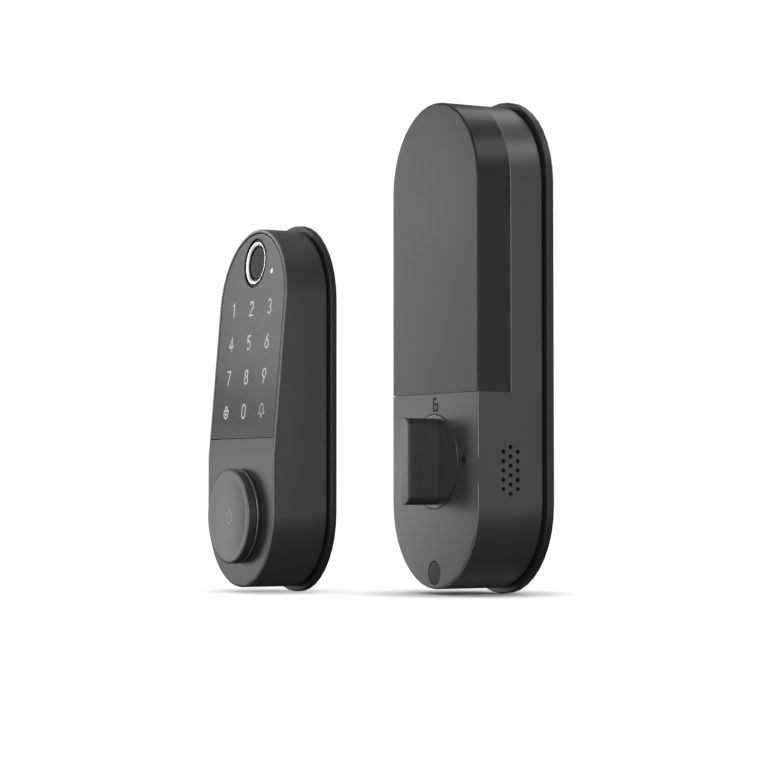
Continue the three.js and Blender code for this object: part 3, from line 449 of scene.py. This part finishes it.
def ribbon(name, strokes, width, thick, place, material, body):
    """Thin printed strokes on a surface.

    Each stroke is a list of (x, z) points in metres and whether it closes. place(x, z, lift) puts a point
    on the surface, lifted off it.
    """
    verts, faces = [], []
    for points, closed in strokes:
        count = len(points)
        start = len(verts)
        for i, p in enumerate(points):
            before = points[i - 1] if (i > 0 or closed) else p
            after = points[(i + 1) % count] if (i < count - 1 or closed) else p
            d1 = Vector((p[0] - before[0], p[1] - before[1]))
            d2 = Vector((after[0] - p[0], after[1] - p[1]))
            d1 = d1.normalized() if d1.length > TINY else d2.normalized()
            d2 = d2.normalized() if d2.length > TINY else d1
            mid = d1 + d2
            mid = mid.normalized() if mid.length > SMALL_TURN else d1
            side = Vector((-mid.y, mid.x))
            reach = width / 2 / max(MITRE_LIMIT, side.dot(Vector((-d1.y, d1.x))))
            extend = Vector((0, 0))
            if not closed and i == 0:
                extend = -d2 * width * CAP_END
            if not closed and i == count - 1:
                extend = d1 * width * CAP_END
            for sign in (1, -1):
                q = Vector(p) + extend + side * reach * sign
                for lift in (0.0, thick):
                    verts.append(place(q.x, q.y, lift))
        last = count if closed else count - 1
        for i in range(last):
            a = start + 4 * i
            b = start + 4 * ((i + 1) % count)
            faces += [(a + 1, b + 1, b + 3, a + 3), (a, a + 2, b + 2, b),
                      (a, b, b + 1, a + 1), (a + 2, a + 3, b + 3, b + 2)]
        if not closed:
            a = start
            b = start + 4 * (count - 1)
            faces += [(a, a + 1, a + 3, a + 2), (b, b + 2, b + 3, b + 1)]
    mesh = bpy.data.meshes.new(name)
    mesh.from_pydata(verts, [], faces)
    mesh.update()
    obj = bpy.data.objects.new(name, mesh)
    scene.collection.objects.link(obj)
    mesh.materials.append(M[material])
    unit_collections["indoor" if name in INDOOR_MARKS else "outdoor"].objects.link(obj)
    if body == "frame" and name not in INDOOR_MARKS:
        unit_collections["upper"].objects.link(obj)
    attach(obj, body)


def arc(cx, cz, rx, rz, start, end, count=14):
    """Points on an ellipse between two angles in degrees."""
    pts = []
    for i in range(count + 1):
        a = math.radians(start + (end - start) * i / count)
        pts.append((cx + rx * math.cos(a), cz + rz * math.sin(a)))
    return pts


# Numerals in a box one unit tall, centred on (0, 0): strokes, and whether each closes.
DIGITS = {
    "0": [(arc(0, 0.22, 0.26, 0.28, 0, 180) + arc(0, -0.22, 0.26, 0.28, 180, 360), True)],
    "1": [([(-0.14, 0.36), (0.05, 0.5), (0.05, -0.5)], False)],
    "2": [(arc(0, 0.22, 0.25, 0.28, 160, -30) + [(-0.27, -0.5), (0.28, -0.5)], False)],
    "3": [(arc(0, 0.25, 0.23, 0.25, 150, -80, 12) + arc(0, -0.24, 0.26, 0.26, 80, -150, 14),
           False)],
    "4": [([(0.12, -0.5), (0.12, 0.5), (-0.28, -0.2), (0.30, -0.2)], False)],
    "5": [([(0.24, 0.5), (-0.18, 0.5), (-0.22, 0.04)] + arc(0, -0.18, 0.26, 0.32, 130, -140, 16),
           False)],
    "6": [([(0.16, 0.5), (-0.2, 0.0)] + arc(0, -0.2, 0.26, 0.3, 150, 510, 24), False)],
    "7": [([(-0.26, 0.5), (0.27, 0.5), (-0.08, -0.5)], False)],
    "8": [(arc(0, 0.26, 0.21, 0.24, 0, 360, 20), True),
          (arc(0, -0.23, 0.26, 0.27, 0, 360, 22), True)],
    "9": [([(-0.16, -0.5), (0.2, 0.0)] + arc(0, 0.2, 0.26, 0.3, -30, 330, 24), False)],
}


def scaled(strokes, size, x, z):
    return [([(x + px * size, z + pz * size) for px, pz in points], closed) for points, closed in strokes]


HOUSE_LOW, HOUSE_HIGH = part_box("out_housing")
OUT_MIDDLE = (HOUSE_LOW.x + HOUSE_HIGH.x) / 2


PANEL_GAP, CAP_GAP, INDOOR_GAP = 0.00002, 0.00004, 0.00001  # print stands this far off its surface


def on_panel(x, z, lift):
    y = PANEL_LOW.y + (z - PANEL_LOW.z) * math.tan(LEAN)
    return (OUT_MIDDLE + x, y - PANEL_GAP - lift, z)


DIGIT_H = 0.0058
PADLOCK_H = 0.0054
COLUMN = 0.0171
ROWS = [FLOOR_Z + z for z in (0.1203, 0.1057, 0.0911, 0.0765)]
for index, label in enumerate("123456789"):
    column = index % 3 - 1
    row = ROWS[index // 3]
    ribbon("digit_" + label, scaled(DIGITS[label], DIGIT_H, column * COLUMN, row), STROKE,
           PRINT_THICK, on_panel, "print_light", "frame")
ribbon("digit_0", scaled(DIGITS["0"], DIGIT_H, 0.0, ROWS[3]), STROKE, PRINT_THICK, on_panel,
       "print_light", "frame")

PADLOCK = [
    (arc(0, 0.16, 0.19, 0.30, 0, 180, 12), False),
    (arc(0, -0.14, 0.36, 0.33, 0, 180, 8)[:1] + [(0.34, 0.12), (-0.34, 0.12)]
     + arc(0, -0.14, 0.36, 0.34, 180, 360, 12), True),
    (arc(0, -0.16, 0.07, 0.07, 0, 360, 8), True),
]
OPEN_PADLOCK = [
    ([(-0.22, 0.06), (-0.26, 0.30)] + arc(-0.08, 0.32, 0.19, 0.18, 180, 30, 10), False),
    ([(-0.26, 0.02), (0.34, 0.02), (0.34, -0.48), (-0.26, -0.48)], True),
]
SMALL_PADLOCK = [
    (arc(0, 0.08, 0.20, 0.30, 0, 180, 10), False),
    ([(-0.32, 0.02), (0.32, 0.02), (0.32, -0.44), (-0.32, -0.44)], True),
    ([(-0.16, -0.21), (0.16, -0.21)], False),
]
BELL = [
    ([(-0.46, -0.22), (-0.28, -0.08)] + arc(0, 0.16, 0.28, 0.32, 180, 0, 14)
     + [(0.28, -0.08), (0.46, -0.22)], True),
    (arc(0, -0.40, 0.09, 0.08, 0, 360, 10), True),
]
ribbon("icon_lock", scaled(PADLOCK, PADLOCK_H, -COLUMN, ROWS[3]), STROKE, PRINT_THICK, on_panel,
       "print_light", "frame")
ribbon("icon_bell", scaled(BELL, DIGIT_H, COLUMN, ROWS[3]), STROKE, PRINT_THICK, on_panel,
       "print_mid", "frame")

DROP = [
    (arc(0, -0.14, 0.36, 0.36, 180, 360, 14)
     + [(0.36, 0.14), (0.10, 0.30), (0.0, 0.5), (-0.10, 0.30), (-0.36, 0.14)], True),
]


DISH_RADIUS, DISH_DEPTH = 0.0178, 0.001


def on_cap(x, z, lift):
    share = (x * x + z * z) / DISH_RADIUS ** 2
    return (CAP_X + x, CAP_LOW.y + DISH_DEPTH * (1 - share) - CAP_GAP - lift, CAP_Z + z)


DROP_H, DROP_STROKE = 0.0062, 0.00055
ribbon("icon_knob", scaled(DROP, DROP_H, 0, 0), DROP_STROKE, PRINT_THICK, on_cap, "print_mid",
       "key_cap")

IN_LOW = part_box("in_housing")[0]


def on_indoor(x, z, lift):
    return (x, IN_LOW.y - INDOOR_GAP - lift, FLOOR_Z + z)


# size, x, height over the floor, stroke width
OPEN_MARK = (0.0052, 0.0010, 0.0786, 0.00078)
CLOSED_MARK = (0.0030, 0.0236, 0.0560, 0.00060)
ribbon("icon_open", scaled(OPEN_PADLOCK, *OPEN_MARK[:3]), OPEN_MARK[3], PRINT_THIN, on_indoor,
       "print_dark", "frame")
ribbon("icon_closed", scaled(SMALL_PADLOCK, *CLOSED_MARK[:3]), CLOSED_MARK[3], PRINT_THIN, on_indoor,
       "print_dark", "frame")
